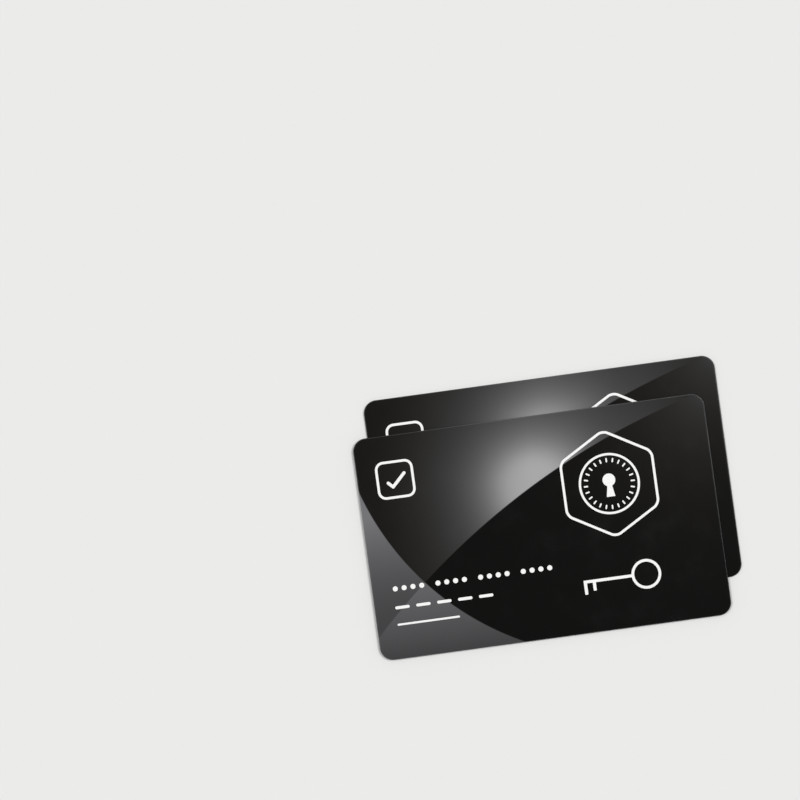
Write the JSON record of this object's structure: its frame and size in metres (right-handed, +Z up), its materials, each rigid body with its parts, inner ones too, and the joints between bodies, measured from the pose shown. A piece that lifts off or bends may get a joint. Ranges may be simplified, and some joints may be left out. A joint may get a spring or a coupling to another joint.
{
  "type": "contactless-blocking card pair",
  "caption": "Flat black plastic blocking cards with round corners, in bank-card format, one fanned over the other, each pressed from sheets round a coil-and-chip inlay.",
  "frame": {"origin": "on the surface under the rear card, at the middle of the pair's outline", "axes": "+X along the cards' long side, +Y along their short side towards the strip of the rear card that shows, +Z up out of the printed faces"},
  "size_m": [0.0894, 0.0628, 0.0017],
  "materials": {
    "clear_overlay": "clear gloss film over black print",
    "black_print": "printed black with a grey sweep, under the clear film",
    "white_ink": "white line print on the black sheet",
    "dark_core": "die-cut edge, matt",
    "inlay_film": "thin translucent film",
    "etched_metal": "etched foil, satin",
    "chip_mould": "moulded, matt",
    "chip_lead": "gold-plated strip"
  },
  "bodies": {
    "rear_card": {"rear_card_back_overlay": "clear_overlay", "rear_card_back_print_sheet": "black_print", "rear_card_back_core_sheet": "dark_core", "rear_card_antenna_bridge": "etched_metal", "rear_card_antenna_film": "inlay_film", "rear_card_antenna_coil": "etched_metal", "rear_card_chip_leads": "chip_lead", "rear_card_chip_mould": "chip_mould", "rear_card_face_core_sheet": "dark_core", "rear_card_face_print_sheet": "black_print", "rear_card_face_overlay": "clear_overlay"},
    "front_card": {"front_card_back_overlay": "clear_overlay", "front_card_back_print_sheet": "black_print", "front_card_back_core_sheet": "dark_core", "front_card_antenna_bridge": "etched_metal", "front_card_antenna_film": "inlay_film", "front_card_antenna_coil": "etched_metal", "front_card_chip_leads": "chip_lead", "front_card_chip_mould": "chip_mould", "front_card_face_core_sheet": "dark_core", "front_card_face_print_sheet": "black_print", "front_card_face_overlay": "clear_overlay"}
  },
  "joints": [
    {"name": "card_slide", "type": "slide", "parent": "rear_card", "child": "front_card", "axis": [0.3964, 0.9181, 0], "range_m": [-0.0194, 0.0386]}
  ]
}
